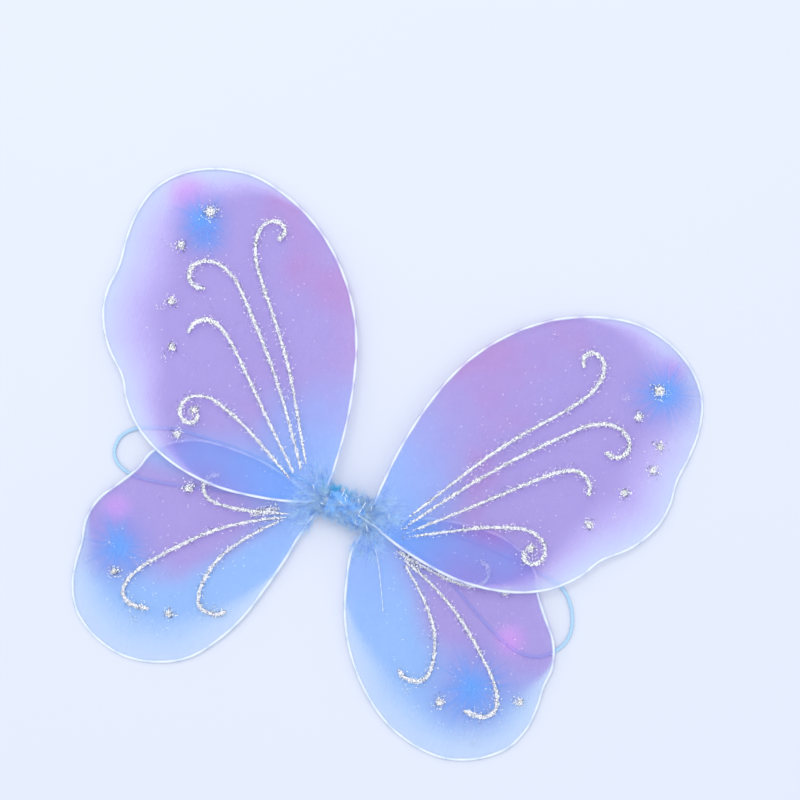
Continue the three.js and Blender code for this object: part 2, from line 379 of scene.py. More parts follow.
# The wings. Each loop is measured from its corner at the bar, x outwards and y up the back.
wingShapes = {
    "upper": {
        "root": (18, 1.5, 15.5),
        "fallOut": 0.035,
        "fallFar": 0.0354,
        "far": 1,
        "middle": (118, 98),
        "outline": [
            (1.2, 1.2), (2.5, 25), (6, 60), (14, 98), (25, 130), (40, 156), (62, 181), (89, 201),
            (120, 214), (150, 219), (180, 213), (204, 199), (219, 180), (225, 157), (225, 135),
            (222.5, 112), (224, 92), (220.5, 73), (207, 50), (187, 31), (177, 15), (160, -2),
            (138, -14), (112, -21), (84, -23), (57, -20), (30, -14), (10, -7), (1.9, -1.7),
        ],
        "swirls": {
            "inner": [
                (115, 173), (112, 181), (118, 187), (128, 183.5), (131.5, 172), (127, 155),
                (113, 135.5), (89, 107), (70, 82), (52, 54), (38, 31), (28, 15),
            ],
            "middle": [
                (155, 116), (163, 114.5), (170, 119), (171.5, 128), (164, 136), (152, 138),
                (135, 131), (115, 112), (90, 86), (67, 59), (48, 34), (37, 19), (30, 9),
            ],
            "outer": [
                (154.5, 78), (153, 86), (147, 92), (138, 93.5), (126, 88), (106, 71), (79, 45.5),
                (57, 25), (35, 5),
            ],
            "spiral": [
                (122, 20), (125, 12), (133, 12), (138, 19), (136, 28.5), (128, 34), (117, 35.5),
                (102, 31.5), (85, 25), (65, 15), (36, -0.5),
            ],
        },
    },
    "lower": {
        "root": (18, -8.5, 8.5),
        "fallOut": 0.01,
        "fallFar": 0.037,
        "far": -1,
        "middle": (98, -68),
        "outline": [
            (1.2, -1.2), (2.5, -22), (7, -47), (15, -75), (27, -102), (44, -126), (66, -146),
            (92, -157), (118, -159.5), (143, -152), (163, -137), (173, -118), (176, -98),
            (176, -82), (178, -64), (173, -45), (161, -28), (150, -12), (143, 4), (129, 16),
            (108, 24), (82, 25), (54, 22), (27, 14), (10, 6), (1.9, 1.7),
        ],
        "swirls": {
            "upper": [
                (92, 0), (99, -4), (102, -12), (97, -20), (86, -23), (72, -22.5), (57, -20),
                (43, -17), (30, -14),
            ],
            "outer": [
                (115, -120), (123, -121), (133, -120), (139, -113), (138, -103), (132, -92),
                (120, -78), (106, -64), (88, -48), (66, -33.5), (45, -22.8), (34, -18.4),
            ],
            "inner": [
                (55, -104), (62, -108.5), (70, -109), (77, -106), (80, -97), (79, -83),
                (72, -63), (59, -45), (44, -29.5), (36, -22.2),
            ],
        },
    },
}
# They are bent and set in by hand, so each is a little turned, its inner side pressed in (or let
# out) by some millimetres, its glitter a little moved and its dye bursts in places of their own.
# A burst or a blush is x, y and how far it spreads, a cluster is a little spill of loose flakes, and
# lead is how far the flakes run on past the roots of the lines.
pressShares = [0, 0.8, 1, 1.1, 0.9, 0.6, 0.2]
wings = [
    {
        "name": "left_upper", "side": -1, "kind": "upper", "turn": -0.26, "print": (3.6, 4.7),
        "press": 0, "bursts": [(167, 160, 17), (175, 172, 20)], "blush": (192, 185, 15),
        "clusters": [(192, 143), (180, 93), (161, 57)], "lead": 0, "seed": 11,
    },
    {
        "name": "right_upper", "side": 1, "kind": "upper", "turn": 0.93, "print": (5.5, -2),
        "press": 0, "bursts": [(190, 175, 26)], "blush": (188, 194, 11),
        "clusters": [(160, 160), (90, 187), (187, 68)], "lead": 11, "seed": 23,
    },
    {
        "name": "left_lower", "side": -1, "kind": "lower", "turn": -4.6, "print": (6.1, 2.7),
        "press": 9, "bursts": [(147, -77, 26)], "blush": (157, -48, 11),
        "clusters": [(155, -77), (118, -129)], "lead": 4, "seed": 37,
    },
    {
        "name": "right_lower", "side": 1, "kind": "lower", "turn": 4.6, "print": (5.6, 1.6),
        "press": -6.5, "bursts": [(121, -99, 30)], "blush": (140, -53, 12),
        "clusters": [(136, -141), (72, -116)], "lead": 0, "seed": 53,
    },
]
wireLook = {"radius": 1.1, "step": 1.6, "sides": 12, "tail": 3.5}
nylonLook = {
    "step": 3.4,
    "rings": [0.0, 0.13, 0.25, 0.36, 0.46, 0.55, 0.63, 0.7, 0.765, 0.82, 0.87, 0.91, 0.945, 0.975],
    "apart": 0.35,      # half the space between the layers in the middle of a wing
    "skin": 0.14,       # how far the nylon stands off the wire
    "rootClear": 7.0,
    "gather": 0.7,      # height of the pleats at the root
    "gatherReach": 34,
    "cutShare": 0.78,   # area of the cut nylon, before it is stretched over the loop
}


def wingMatrix(wing):
    shape = wingShapes[wing["kind"]]
    x, y, z = shape["root"]
    side = wing["side"]
    return (
        Matrix.Translation((side * x, y, z))
        @ Matrix.Rotation(-shape["far"] * math.atan(shape["fallFar"]), 4, "X")
        @ Matrix.Rotation(side * math.atan(shape["fallOut"]), 4, "Y")
        @ Matrix.Rotation(side * math.radians(wing["turn"]), 4, "Z")
    )


# Wing places in millimetres, to the frame's metres.
def placed(wing, points):
    matrix = np.array(wingMatrix(wing))
    return (np.asarray(points) @ matrix[:3, :3].T + matrix[:3, 3]) * mm


def mirrored(wing, points):
    return [(wing["side"] * point[0], point[1], 0) for point in points]


def printed(wing, points):
    moveX, moveY = wing["print"]
    return [(wing["side"] * point[0] + moveX, point[1] + moveY, 0) for point in points]


def bentOutline(wing):
    outline = [list(point) for point in wingShapes[wing["kind"]]["outline"]]
    for point, share in zip(outline, pressShares):
        point[0] += wing["press"] * share
    return outline


def wireFinish():
    finish = Finish("coatedWire", Coat_Weight=0.25, Coat_Roughness=0.3)
    place = finish.objectPlace()
    scuff = finish.noise(place, 160, 4)
    colour = finish.ramp(scuff, (0.3, (0.70, 0.76, 0.86)), (0.6, (0.78, 0.83, 0.92)))
    fine = finish.noise(place, 2400, 2)
    return finish.set(
        Base_Color=colour,
        Roughness=0.3 + 0.25 * scuff,
        Normal=finish.bump(fine, 0.00004, 0.4),
    )


def addWire(wing, material):
    outline = bentOutline(wing)
    tail = wireLook["tail"]
    far = wingShapes[wing["kind"]]["far"]
    ends = [(-tail, 0.35 * far), (-tail, -0.9 * far)]
    path = smoothPath(mirrored(wing, [ends[0], *outline, ends[1]]), wireLook["step"])
    radius = wireLook["radius"]
    points, faces = tubeShape(path, radius, radius, wireLook["sides"])
    wire = addPiece(wing["name"] + "_coated_wire", placed(wing, points), faces, material)
    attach(wire, wing["name"] + "_wing")
    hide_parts(wing["name"] + "_wire")


def rimDistance(wing, points):
    path = smoothPath(mirrored(wing, bentOutline(wing)), 3.0)
    gaps = np.linalg.norm(np.asarray(points)[:, None, :2] - path[None, :, :2], axis=2)
    return gaps.min(axis=1)


# Pleats that run out from the corner and die away, and never lift the nylon off its wire.
def clothRise(wing, points):
    points = np.asarray(points)
    x, y = points[:, 0] * wing["side"], points[:, 1]
    reach = np.hypot(x, y)
    turn = np.arctan2(y, x)
    pleats = np.sin(19 * turn + wing["seed"]) + 0.6 * np.sin(31 * turn + 2 * wing["seed"])
    tautness = np.clip(rimDistance(wing, points) / 7, 0, 1)
    return nylonLook["gather"] * np.exp(-reach / nylonLook["gatherReach"]) * pleats * tautness * 0.5


def coverEdge(wing):
    path = smoothPath(mirrored(wing, bentOutline(wing)), nylonLook["step"])
    path = path[np.linalg.norm(path[:, :2], axis=1) > nylonLook["rootClear"]]
    if wing["side"] * wingShapes[wing["kind"]]["far"] > 0:
        path = path[::-1]  # anticlockwise seen from the front
    ahead = np.roll(path, -1, axis=0) - np.roll(path, 1, axis=0)
    outward = np.column_stack([ahead[:, 1], -ahead[:, 0], np.zeros(len(path))])
    return path, unit(outward)


# A nylon sock over the loop: the front layer, round the wire, and the back layer.
def addCover(wing, material):
    shape = wingShapes[wing["kind"]]
    edge, outward = coverEdge(wing)
    middle = np.array([wing["side"] * shape["middle"][0], shape["middle"][1], 0])
    hug = wireLook["radius"] + nylonLook["skin"]
    rows = []
    for face in (1, -1):
        sheet = []
        for share in nylonLook["rings"]:
            row = middle + share * (edge - middle)
            lift = nylonLook["apart"] + (hug - nylonLook["apart"]) * share**6
            row[:, 2] = face * lift + clothRise(wing, row)
            sheet.append(row)
        rows.append(sheet)
    wrap = []
    for i in range(7):
        angle = i * math.pi / 6
        row = edge + outward * hug * math.sin(angle)
        row[:, 2] = hug * math.cos(angle)
        wrap.append(row)
    rings = rows[0][1:] + wrap + rows[1][:0:-1]
    points = np.vstack([*rings, [rows[0][0][0], rows[1][0][0]]])
    faces = shellFaces(len(rings), len(edge), 0, len(points) - 2, len(points) - 1)
    cover = addPiece(wing["name"] + "_nylon", placed(wing, points), faces, material)
    plan = points[:, :2] * (wing["side"], 1) * mm
    addMap(cover, "plan", plan)
    addAttribute(cover, "rim", rimDistance(wing, points) * mm)
    cover.visible_shadow = False  # sheer enough that the floor under it stays bright
    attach(cover, wing["name"] + "_wing")
    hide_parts(wing["name"] + "_cover")


dyes = {
    "lavender": (0.31, 0.19, 0.66),
    "mauve": (0.38, 0.12, 0.56),
    "periwinkle": (0.10, 0.14, 0.66),
    "root": (0.16, 0.37, 0.88),
    "sky": (0.17, 0.42, 0.85),
    "paleSky": (0.49, 0.65, 0.86),
    "paleLavender": (0.52, 0.42, 0.86),
    "edge": (0.56, 0.67, 0.88),
    "burst": (0.02, 0.29, 0.85),
    "blush": (0.66, 0.20, 0.82),
    "coverage": 0.365,   # of one layer, seen square on
    "overWire": 0.2,     # of that, where it is stretched over the wire
    "wale": 0.55,        # mm between the lines of the knit
}


# Blue at the root, lavender and mauve beyond, and a wide pale fade on the outer side.
def upperDyes(finish, x, y, rim, fromRoot, cloud):
    outer = finish.rise(x - 0.35 * (y - 0.09).absolute(), 0.05, 0.2)
    fade = rim / (0.002 + 0.056 * outer) + 0.5 * cloud
    colour = finish.mix(dyes["lavender"], dyes["mauve"], finish.rise(cloud - 0.9 * outer, -0.12, 0.14))
    below = (1 - finish.rise(y, 0.0, 0.024)) * (1 - finish.rise(x, 0.105, 0.145))
    colour = finish.mix(colour, dyes["root"], below * 0.55)
    colour = finish.mix(dyes["root"], colour, finish.rise(fromRoot, 0.03, 0.112))
    colour = finish.mix(dyes["paleLavender"], colour, finish.rise(fade, 0.3, 1.0) * 0.85 + 0.15)
    return finish.mix(dyes["edge"], colour, finish.rise(fade, -0.1, 0.6) * 0.9 + 0.1)


# Sky blue along the inner side and the bottom, lavender above and outside, and blue again on top.
def lowerDyes(finish, x, y, rim, fromRoot, cloud):
    inside = finish.rise((y + 1.17 * x - 0.0128) * 0.65 + 0.03 * cloud, -0.010, 0.018)
    above = finish.rise(y + 0.088 + 0.05 * cloud, -0.018, 0.022)
    low = finish.rise(0 - y, 0.055, 0.13)
    fade = rim / (0.002 + 0.032 * low) + 0.5 * cloud
    top = finish.rise(y + 0.02 * cloud, -0.014, 0.008)
    colour = finish.mix(dyes["sky"], dyes["lavender"], inside * above)
    colour = finish.mix(colour, dyes["sky"], top * 0.7)
    colour = finish.mix(dyes["root"], colour, finish.rise(fromRoot, 0.012, 0.085) * 0.9 + 0.1)
    colour = finish.mix(dyes["paleSky"], colour, finish.rise(fade, 0.2, 1.2) * 0.8 + 0.2)
    return finish.mix(dyes["edge"], colour, finish.rise(fade, -0.2, 0.5) * 0.75 + 0.25)


# An airbrushed burst: a blue patch with rays, in a wide halo. Gives the dye and where it lies.
def addBurst(finish, colour, x, y, burst, seed):
    burstX, burstY, spread = (value * mm for value in burst)
    dx, dy = x - burstX, y - burstY
    away = (dx * dx + dy * dy) ** 0.5
    heading = finish.node("CombineXYZ", None, {0: dx / (away + 0.0004), 1: dy / (away + 0.0004), 2: seed})
    rays = finish.noise(heading, 6, 4, Roughness=0.7)
    halo = finish.rise(away / spread, 0.3, 1.7) * 0.65 + 0.35
    colour = finish.mix(dyes["periwinkle"], colour, halo)
    reach = away / (spread * (0.65 + 0.9 * finish.rise(rays, 0.38, 0.68)))
    within = 1 - finish.rise(reach, 0.0, 1.0)
    return finish.mix(colour, dyes["burst"], within), within


def nylonFinish(wing):
    finish = Finish(wing["name"] + "Nylon", Sheen_Weight=0.1, Specular_IOR_Level=0.25)
    plan = finish.node("UVMap", {"uv_map": "plan"})
    x = finish.node("SeparateXYZ", None, {0: plan}, "X")
    y = finish.node("SeparateXYZ", None, {0: plan}, "Y")
    seed = wing["seed"] * 0.37
    drift = finish.node("Mapping", None, {"Vector": plan, "Location": (seed, -seed, 0)})
    cloud = finish.noise(drift, 13, 3) - 0.5
    wisps = finish.noise(drift, 45, 4) - 0.5
    rim = finish.attribute("rim")
    fromRoot = (x * x + y * y) ** 0.5 + 0.06 * cloud + 0.008 * wisps
    dye = upperDyes if wing["kind"] == "upper" else lowerDyes
    colour = dye(finish, x, y, rim, fromRoot, cloud)
    blushX, blushY, spread = (value * mm for value in wing["blush"])
    dx, dy = x - blushX, y - blushY
    nearBlush = (dx * dx + dy * dy) ** 0.5 + 0.01 * wisps
    colour = finish.mix(dyes["blush"], colour, finish.rise(nearBlush, 0.0, 1.6 * spread) * 0.8 + 0.2)
    deeper = 0
    for burst in wing["bursts"]:
        colour, within = addBurst(finish, colour, x, y, burst, seed)
        deeper = deeper + 0.09 * within
    wale = 2 * math.pi / (dyes["wale"] * mm)
    knit = (x * wale).sine() * 0.3 + (y * (wale * 0.7)).sine() * 0.2 + 0.5
    strands = finish.node("Mapping", None, {"Vector": plan, "Scale": (6, 0.35, 1)})
    streak = finish.noise(strands, 160, 2) - 0.5
    slack = finish.rise(rim, 0.0009, 0.0017) * (1 - dyes["overWire"]) + dyes["overWire"]
    coverage = (dyes["coverage"] + 0.05 * (knit - 0.5) + 0.07 * streak + 0.05 * wisps + deeper) * slack
    return finish.set(
        Base_Color=finish.mix(colour, (1, 1, 1), 0.08 * streak + 0.02),
        Alpha=coverage,
        Roughness=0.62 + 0.2 * knit,
        Normal=finish.bump(knit, 0.00008, 0.35),
    )


coating = wireFinish()
for wing in wings:
    addWire(wing, coating)
    addCover(wing, nylonFinish(wing))
print("wire loops bent and covered with nylon")


# Glitter: beads of clear glue drawn on the nylon and strewn with flakes.
glitterLook = {
    "base": 0.62,        # how high the glue lies over the middle of the nylon
    "rootWidth": 1.9,
    "lineWidth": 2.8,
    "hookWidth": 4.0,    # at the curled tip
    "step": 1.2,
    "height": 0.85,
    "dotHeight": 1.1,
    "leadHalfWidth": 0.8,
    "leadHeight": 0.3,
    "arch": 0.62,        # how much of that height stands over a line's middle
    "sides": 10,
    "sunk": 0.16,        # how far the glue reaches down from there
    "wobble": 0.2,
    "flake": 0.43,       # half width
    "perArea": 1.9,      # flakes on each square millimetre
    "stray": 0.38,       # share of them that lie off the line
    "strayReach": 1.3,   # how far off, in half widths
    "specks": 420,       # loose flakes on each wing
    "clusterFlakes": 24,
    "clusterSpread": 1.7,
}
# Dark stops are painted shade between the grains; pale stops are painted glints.
glueGlintsAndShade = [
    (0.0, (0.09, 0.10, 0.18)), (0.34, (0.30, 0.31, 0.46)), (0.44, (0.80, 0.81, 0.89)),
    (1.0, (1, 1, 0.97)),
]
# The near-black flakes are painted shade, standing for flakes turned from the light; the white, cream and
# pale blue ones are the flakes' own tints.
flakeTintsAndShade = [
    (0.0, (0.03, 0.035, 0.07)), (0.3, (0.12, 0.13, 0.22)), (0.36, (0.80, 0.81, 0.86)),
    (0.5, (1.0, 1.0, 0.99)), (0.88, (1.0, 0.95, 0.82)), (1.0, (0.84, 0.92, 1.0)),
]


# Clear glue, ragged at its edges, with its grains painted in: pale cells as painted glints and dark cells
# as painted shade between the grains.
def glueFinish():
    finish = Finish("glitterGlue", Coat_Weight=0.3, Coat_Roughness=0.2)
    place = finish.objectPlace()
    grain = finish.node("TexVoronoi", None, {"Vector": place, "Scale": 1900}, "Color")
    grainGlint = finish.node("SeparateColor", None, {0: grain})
    colour = finish.ramp(grainGlint, *glueGlintsAndShade)
    lumps = finish.noise(place, 1100, 3)
    ragged = finish.rise(lumps - 0.5 * finish.attribute("edge"), 0.08, 0.2)
    return finish.set(
        Base_Color=colour,
        Roughness=0.3 + 0.3 * lumps,
        Alpha=ragged,
        Normal=finish.bump(lumps, 0.00025, 0.8),
    )


def flakeFinish():
    finish = Finish("glitterFlakes", Specular_IOR_Level=0.8)
    tint = finish.attribute("tint")
    fine = finish.noise(finish.objectPlace(), 5200, 1)
    return finish.set(
        Base_Color=finish.ramp(tint, *flakeTintsAndShade),
        Metallic=0.35 * finish.rise(tint, 0.9, 0.3),
        Roughness=0.2 + 0.2 * fine,
        Normal=finish.bump(fine, 0.00003, 0.3),
    )


# One flake: a six-sided chip with a low point, modelled once and copied to every spot.
def modelFlake():
    bpy.ops.mesh.primitive_cone_add(vertices=6, radius1=1, radius2=0, depth=0.36, location=(0, 0, 0.18))
    chip = bpy.context.object
    points = np.array([tuple(chip.matrix_world @ v.co) for v in chip.data.vertices])
    faces = [tuple(p.vertices) for p in chip.data.polygons]
    bpy.data.objects.remove(chip)
    return points, faces


flakePoints, flakeFaces = modelFlake()


# Flakes at spots on a wing, facing as given, each tilted a little its own way.
def layFlakes(wing, name, spots, facing, sizes, tilt, random, material):
    count = len(spots)
    facing = np.asarray(facing) @ np.array(wingMatrix(wing))[:3, :3].T
    up = unit(facing + random.normal(0, tilt, (count, 3)))
    first = unit(np.cross(up, random.normal(0, 1, (count, 3))))
    second = np.cross(up, first)
    chips = (
        first[:, None] * flakePoints[None, :, 0, None]
        + second[:, None] * flakePoints[None, :, 1, None]
        + up[:, None] * flakePoints[None, :, 2, None]
    )
    sizes = glitterLook["flake"] * sizes * mm
    points = placed(wing, spots)[:, None] + chips * sizes[:, None, None]
    corners = len(flakePoints)
    faces = [tuple(c + i * corners for c in face) for i in range(count) for face in flakeFaces]
    flakes = addPiece(name, points.reshape(-1, 3), faces, material, flat=True)
    addAttribute(flakes, "tint", np.repeat(random.uniform(0, 1, count), corners))
    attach(flakes, wing["name"] + "_wing")


# Half widths of a line: thin at the root, fuller along it and thickest in the hook.
def lineWidths(path, random):
    along = np.linspace(0, 1, len(path))  # from the tip to the root
    look = glitterLook
    hook = np.clip(1 - along / 0.3, 0, 1) ** 0.7
    width = look["lineWidth"] + (look["hookWidth"] - look["lineWidth"]) * hook
    width += (look["rootWidth"] - look["lineWidth"]) * np.clip((along - 0.6) / 0.4, 0, 1)
    bumps = random.normal(0, 1, len(path))
    bumps = np.convolve(bumps, np.hanning(5) / np.hanning(5).sum(), "same")
    width *= 1 + look["wobble"] * bumps
    ends = np.minimum(along, 1 - along) * len(path) / 2.5
    return width / 2 * np.clip(ends + 0.25, 0, 1) ** 0.5


def addSwirl(wing, swirl, materials, random):
    path = smoothPath(printed(wing, wingShapes[wing["kind"]]["swirls"][swirl]), glitterLook["step"])
    path[:, 2] = glitterLook["base"] + clothRise(wing, path)
    halfWidths = lineWidths(path, random)
    tall = glitterLook["height"] * (0.55 + 0.3 * halfWidths / halfWidths.max())
    arch, glueSides = glitterLook["arch"], glitterLook["sides"]
    points, faces = tubeShape(path, halfWidths, tall * arch, glueSides)
    low = path[:, 2].repeat(glueSides) - glitterLook["sunk"]
    points[:, 2] = np.maximum(points[:, 2], low)
    node = f"{wing['name']}_{swirl}_swirl"
    glue = addPiece(node + "_glue", placed(wing, points), faces, materials["glue"])
    addAttribute(glue, "edge", np.tile(np.abs(np.cos(circle(glueSides))), len(path)))
    if wing["lead"]:
        steps = np.arange(1, round(wing["lead"] / glitterLook["step"]) + 1)
        path = np.vstack([path, path[-1] + steps[:, None] * (path[-1] - path[-2])])
        halfWidths = np.append(halfWidths, np.full(len(steps), glitterLook["leadHalfWidth"]))
        tall = np.append(tall, np.full(len(steps), glitterLook["leadHeight"]))
    area = np.sum(2 * halfWidths[:-1] * np.linalg.norm(np.diff(path, axis=0), axis=1))
    count = int(area * glitterLook["perArea"])
    at = random.choice(len(path) - 1, count, p=halfWidths[:-1] / halfWidths[:-1].sum())
    share = random.uniform(0, 1, count)[:, None]
    spots = path[at] * (1 - share) + path[at + 1] * share
    ahead = path[at + 1] - path[at]
    across = unit(np.column_stack([ahead[:, 1], -ahead[:, 0], np.zeros(count)]))
    offset = random.uniform(-1.1, 1.1, count)
    stray = random.uniform(0, 1, count) < glitterLook["stray"]
    offset += np.where(stray, random.normal(0, glitterLook["strayReach"], count), 0)
    spots = spots + across * (offset * halfWidths[at])[:, None]
    roof = np.sqrt(np.clip(1 - offset**2, 0, 1))
    spots[:, 2] += tall[at] * arch * roof - 0.08
    facing = np.array([0, 0, 1]) + across * (np.clip(offset, -1, 1) * 0.7)[:, None]
    sizes = random.uniform(0.6, 1.25, count)
    layFlakes(wing, node + "_flakes", spots, facing, sizes, 0.35, random, materials["flakes"])
    finishGlue(wing, glue, node)


def finishGlue(wing, glue, node):
    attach(glue, wing["name"] + "_wing")
    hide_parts(node)


# A dot: a lump of glue with a ragged edge.
def addDot(wing, number, materials, random):
    node = f"{wing['name']}_glitter_dot_{number}"
    low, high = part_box(node)
    inverse = np.array(wingMatrix(wing).inverted())
    centre = np.array((low + high) / 2) / mm @ inverse[:3, :3].T + inverse[:3, 3]
    radius = (high.x - low.x) / 2 / mm
    centre[2] = glitterLook["base"] + clothRise(wing, centre[None])[0] - glitterLook["sunk"]
    sides, rings = 22, [0.3, 0.6, 0.82, 0.96, 1.0]
    ragged = 0.8 + random.uniform(-0.2, 0.2, sides)
    tall = glitterLook["dotHeight"]
    points = [centre + (0, 0, tall + 0.05), centre]
    for share in rings:
        for i in range(sides):
            angle = i * 2 * math.pi / sides
            reach = radius * ragged[i] * share
            height = tall * math.sqrt(max(0, 1 - share**2)) + random.uniform(0, 0.1) * (share < 1)
            points.append(centre + (reach * math.cos(angle), reach * math.sin(angle), height))
    faces = shellFaces(len(rings), sides, 2, 0, 1)
    glue = addPiece(node + "_glue", placed(wing, points), faces, materials["glue"])
    addAttribute(glue, "edge", [0, 0, *np.repeat(rings, sides)])
    count = int(1.5 * math.pi * radius**2 * glitterLook["perArea"])
    turn = random.uniform(0, 2 * math.pi, count)
    share = np.abs(random.normal(0, 0.9, count)).clip(0, 2.1)
    edge = ragged[(turn / (2 * math.pi) * sides).astype(int) % sides]
    across = np.column_stack([np.cos(turn), np.sin(turn), np.zeros(count)])
    spots = centre + across * (radius * share * edge)[:, None]
    spots[:, 2] += tall * np.sqrt(np.clip(1 - share**2, 0.01, 1)) + 0.02
    facing = np.array([0, 0, 1]) + across * share.clip(0, 1)[:, None] * 0.5
    sizes = random.uniform(0.7, 1.35, count)
    layFlakes(wing, node + "_flakes", spots, facing, sizes, 0.4, random, materials["flakes"])
    finishGlue(wing, glue, node)


# The lower lines start together, in a thick patch of flakes.
patchLook = {"middle": (43, -14.5), "halfLength": 12, "halfWidth": 3.6, "turn": -29, "flakes": 300}


def addPatch(wing, material, random):
    count = patchLook["flakes"]
    along = random.uniform(-1, 1, count)
    across = random.normal(0, 0.5, count) * (1.1 - 0.3 * along)
    turn = math.radians(patchLook["turn"])
    lengthways, sideways = along * patchLook["halfLength"], across * patchLook["halfWidth"]
    x, y = patchLook["middle"]
    x = x + lengthways * math.cos(turn) - sideways * math.sin(turn)
    y = y + lengthways * math.sin(turn) + sideways * math.cos(turn)
    spots = np.column_stack([wing["side"] * x, y, np.zeros(count)])
    spots[:, 2] = glitterLook["base"] + clothRise(wing, spots) + random.uniform(0, 0.4, count)
    sizes = random.uniform(0.7, 1.3, count)
    layFlakes(wing, wing["name"] + "_root_glitter", spots, (0, 0, 1), sizes, 0.4, random, material)


# Loose flakes over a whole wing, fewer towards its wire.
def addSpecks(wing, material, random):
    edge, _ = coverEdge(wing)
    low, high = edge.min(axis=0), edge.max(axis=0)
    spots = random.uniform(low, high, (glitterLook["specks"] * 4, 3))
    spots = spots[[insideLoop(edge, spot) for spot in spots]]
    spots = spots[rimDistance(wing, spots) > 5][: glitterLook["specks"]]
    count, spread = glitterLook["clusterFlakes"], glitterLook["clusterSpread"]
    for x, y in wing["clusters"]:
        middle = (wing["side"] * x, y, 0)
        spots = np.vstack([spots, random.normal(middle, (spread, spread, 0), (count, 3))])
    spots[:, 2] = nylonLook["apart"] + 0.06 + clothRise(wing, spots)
    sizes = random.uniform(0.3, 0.9, len(spots))
    layFlakes(wing, wing["name"] + "_loose_glitter", spots, (0, 0, 1), sizes, 0.16, random, material)


def insideLoop(edge, spot):
    x, y = spot[:2]
    before = np.roll(edge, 1, axis=0)
    crosses = (edge[:, 1] > y) != (before[:, 1] > y)
    with np.errstate(divide="ignore", invalid="ignore"):
        reach = (before[:, 0] - edge[:, 0]) * (y - edge[:, 1]) / (before[:, 1] - edge[:, 1]) + edge[:, 0]
    return bool(np.sum(crosses & (x < reach)) % 2)


glitter = {"glue": glueFinish(), "flakes": flakeFinish()}
for wing in wings:
    random = np.random.default_rng(wing["seed"])
    for swirl in wingShapes[wing["kind"]]["swirls"]:
        addSwirl(wing, swirl, glitter, random)
    dots = [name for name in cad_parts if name.startswith(wing["name"] + "_glitter_dot_")]
    for number in range(1, len(dots) + 1):
        addDot(wing, number, glitter, random)
    if wing["kind"] == "lower":
        addPatch(wing, glitter["flakes"], random)
    addSpecks(wing, glitter["flakes"], random)
print("glitter drawn and strewn")


# The bar: tape wound over the wires' twisted ends.
wrapLook = {
    "turns": 7,
    "slant": 12,
    "lap": 0.35,
    "colour": (0.26, 0.52, 0.92),
    "dark": (0.12, 0.34, 0.76),
}


def tapeFinish():
    finish = Finish("clothTape", Sheen_Weight=0.1)
    place = finish.objectPlace()
    weave = {"Vector": place, "Scale": 420, "Distortion": 0.4}
    threads = finish.node("TexWave", {"bands_direction": "DIAGONAL"}, weave)
    threads = finish.node("SeparateColor", None, {0: threads})
    grime = finish.noise(place, 90, 4)
    colour = finish.ramp(grime * 0.6 + threads * 0.4, (0.2, wrapLook["dark"]), (0.8, wrapLook["colour"]))
    return finish.set(
        Base_Color=colour,
        Roughness=0.6 + 0.25 * grime,
        Normal=finish.bump(threads * 0.5 + grime, 0.0002, 0.6),
    )


def addWrap(material):
    low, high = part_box("centre_tape_wrap")
    middle, size = (low + high) / 2, high - low
    bpy.ops.object.select_all(action="DESELECT")
    bpy.ops.mesh.primitive_cube_add(size=1, location=middle)
    wrap = bpy.context.object
    wrap.name = "wound_tape"
    wrap.dimensions = size
    bpy.ops.object.transform_apply(location=True, rotation=True, scale=True)
    bpy.ops.object.mode_set(mode="EDIT")
    bpy.ops.mesh.select_all(action="DESELECT")
    bpy.ops.mesh.select_mode(type="EDGE")
    bpy.ops.object.mode_set(mode="OBJECT")
    for edge in wrap.data.edges:
        ends = [wrap.data.vertices[v].co for v in edge.vertices]
        edge.select = all(end.z > middle.z for end in ends) and abs(ends[0].x - ends[1].x) > size.x / 2
    bpy.ops.object.mode_set(mode="EDIT")
    bpy.ops.mesh.bevel(offset=size.y * 0.37, segments=7, affect="EDGES")
    slant = math.radians(wrapLook["slant"])
    for turn in range(1, wrapLook["turns"]):
        x = low.x + size.x * turn / wrapLook["turns"]
        bpy.ops.mesh.select_all(action="SELECT")
        across = (math.cos(slant), math.sin(slant), 0.1)
        bpy.ops.mesh.bisect(plane_co=(x, middle.y, middle.z), plane_no=across)
    bpy.ops.mesh.select_mode(type="FACE")
    bpy.ops.mesh.select_all(action="DESELECT")
    bpy.ops.object.mode_set(mode="OBJECT")
    for face in wrap.data.polygons:
        along = (face.center.x - low.x + math.tan(slant) * (face.center.y - middle.y)) / size.x
        odd = int(along * wrapLook["turns"]) % 2 == 1
        face.select = odd and abs(face.normal.x) < 0.7 and face.normal.z > -0.7
    bpy.ops.object.mode_set(mode="EDIT")
    lap = {"value": wrapLook["lap"] * mm}
    bpy.ops.mesh.extrude_region_shrink_fatten(TRANSFORM_OT_shrink_fatten=lap)
    bpy.ops.object.mode_set(mode="OBJECT")
    soften = wrap.modifiers.new("soften", "BEVEL")
    soften.width = 0.25 * mm
    soften.segments = 2
    soften.limit_method = "ANGLE"
    bpy.ops.object.modifier_apply(modifier=soften.name)
    bpy.ops.object.shade_smooth_by_angle(angle=math.radians(40))
    wrap.data.materials.append(material)
    wrap.select_set(False)
    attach(wrap, "centre_bar")
    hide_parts("centre_tape_wrap")


def steelFinish():
    finish = Finish("drawnSteel", Anisotropic=0.4)
    stretched = finish.node("Mapping", None, {"Vector": finish.objectPlace(), "Scale": (1, 14, 14)})
    drawn = finish.noise(stretched, 220, 3)
    colour = finish.ramp(drawn, (0.3, (0.42, 0.43, 0.46)), (0.7, (0.72, 0.73, 0.76)))
    return finish.set(Base_Color=colour, Metallic=0.9 + 0.1 * drawn, Roughness=0.28 + 0.25 * drawn)


addWrap(tapeFinish())
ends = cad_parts["twisted_wire_ends"]
ends.data.materials.clear()
ends.data.materials.append(steelFinish())
print("bar wound with tape")


